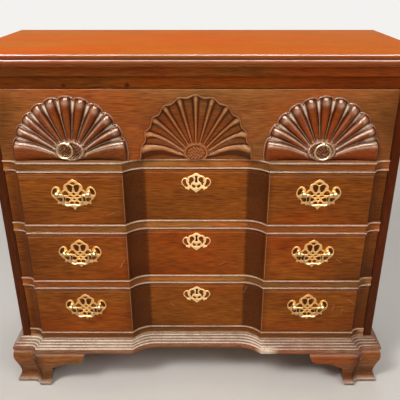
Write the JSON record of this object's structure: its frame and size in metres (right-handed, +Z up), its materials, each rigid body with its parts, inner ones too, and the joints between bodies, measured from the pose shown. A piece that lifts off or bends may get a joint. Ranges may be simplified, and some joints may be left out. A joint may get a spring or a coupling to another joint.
{
  "type": "block front chest",
  "caption": "Free-standing mahogany chest with a blocked front, carved shells, graduated sliding drawers, pierced brass handles and ogee bracket feet.",
  "frame": {"origin": "middle of the footprint, on the floor under the feet", "axes": "+Z up, +X to the right seen from the front, -Y towards the front"},
  "size_m": [0.938, 0.458, 0.8125],
  "materials": {
    "mahogany": "glossy",
    "secondary_wood": "matte",
    "brass": "polished"
  },
  "bodies": {
    "case": {"top_board": "mahogany", "cornice_front": "mahogany", "cornice_left": "mahogany", "cornice_right": "mahogany", "side_left": "mahogany", "side_right": "mahogany", "back_panel": "secondary_wood", "top_rail": "mahogany", "rear_top_rail": "secondary_wood", "blade_1": "mahogany", "blade_2": "mahogany", "blade_3": "mahogany", "bottom_rail": "mahogany", "drawer_runners": "secondary_wood", "dust_boards": "secondary_wood", "case_bottom": "secondary_wood", "base_molding_front": "mahogany", "base_molding_left": "mahogany", "base_molding_right": "mahogany", "foot_front_left": "mahogany", "foot_front_right": "mahogany", "foot_rear_left": "mahogany", "foot_rear_right": "mahogany"},
    "drawer_1": {"drawer_1_front": "mahogany", "drawer_1_sides": "secondary_wood", "drawer_1_back": "secondary_wood", "drawer_1_bottom": "secondary_wood", "shell_left": "mahogany", "shell_right": "mahogany", "ring_posts": "brass"},
    "ring_left": {"ring_left": "brass"},
    "ring_right": {"ring_right": "brass"},
    "drawer_2": {"drawer_2_front": "mahogany", "drawer_2_sides": "secondary_wood", "drawer_2_back": "secondary_wood", "drawer_2_bottom": "secondary_wood", "handle_plates_2": "brass", "handle_posts_2": "brass", "escutcheon_2": "brass"},
    "bail_2_left": {"bail_2_left": "brass"},
    "bail_2_right": {"bail_2_right": "brass"},
    "drawer_3": {"drawer_3_front": "mahogany", "drawer_3_sides": "secondary_wood", "drawer_3_back": "secondary_wood", "drawer_3_bottom": "secondary_wood", "handle_plates_3": "brass", "handle_posts_3": "brass", "escutcheon_3": "brass"},
    "bail_3_left": {"bail_3_left": "brass"},
    "bail_3_right": {"bail_3_right": "brass"},
    "drawer_4": {"drawer_4_front": "mahogany", "drawer_4_sides": "secondary_wood", "drawer_4_back": "secondary_wood", "drawer_4_bottom": "secondary_wood", "handle_plates_4": "brass", "handle_posts_4": "brass", "escutcheon_4": "brass"},
    "bail_4_left": {"bail_4_left": "brass"},
    "bail_4_right": {"bail_4_right": "brass"}
  },
  "joints": [
    {"name": "drawer_1_slide", "type": "slide", "parent": "case", "child": "drawer_1", "axis": [0, -1, 0], "range_m": [0, 0.33]},
    {"name": "drawer_2_slide", "type": "slide", "parent": "case", "child": "drawer_2", "axis": [0, -1, 0], "range_m": [0, 0.33]},
    {"name": "drawer_3_slide", "type": "slide", "parent": "case", "child": "drawer_3", "axis": [0, -1, 0], "range_m": [0, 0.33]},
    {"name": "drawer_4_slide", "type": "slide", "parent": "case", "child": "drawer_4", "axis": [0, -1, 0], "range_m": [0, 0.33]},
    {"name": "bail_2_left_swing", "type": "hinge", "parent": "drawer_2", "child": "bail_2_left", "pos_m": [-0.2675, -0.2178, 0.522], "axis": [-1, 0, 0], "range_deg": [0, 110]},
    {"name": "bail_2_right_swing", "type": "hinge", "parent": "drawer_2", "child": "bail_2_right", "pos_m": [0.2675, -0.2178, 0.522], "axis": [-1, 0, 0], "range_deg": [0, 110]},
    {"name": "bail_3_left_swing", "type": "hinge", "parent": "drawer_3", "child": "bail_3_left", "pos_m": [-0.2675, -0.2178, 0.3765], "axis": [-1, 0, 0], "range_deg": [0, 110]},
    {"name": "bail_3_right_swing", "type": "hinge", "parent": "drawer_3", "child": "bail_3_right", "pos_m": [0.2675, -0.2178, 0.3765], "axis": [-1, 0, 0], "range_deg": [0, 110]},
    {"name": "bail_4_left_swing", "type": "hinge", "parent": "drawer_4", "child": "bail_4_left", "pos_m": [-0.2675, -0.2178, 0.2315], "axis": [-1, 0, 0], "range_deg": [0, 110]},
    {"name": "bail_4_right_swing", "type": "hinge", "parent": "drawer_4", "child": "bail_4_right", "pos_m": [0.2675, -0.2178, 0.2315], "axis": [-1, 0, 0], "range_deg": [0, 110]},
    {"name": "ring_left_swing", "type": "hinge", "parent": "drawer_1", "child": "ring_left", "pos_m": [-0.267, -0.208, 0.6298], "axis": [-0.8387, 0, 0.5446], "range_deg": [0, 110]},
    {"name": "ring_right_swing", "type": "hinge", "parent": "drawer_1", "child": "ring_right", "pos_m": [0.267, -0.208, 0.6298], "axis": [-1, 0, 0], "range_deg": [0, 110]}
  ]
}
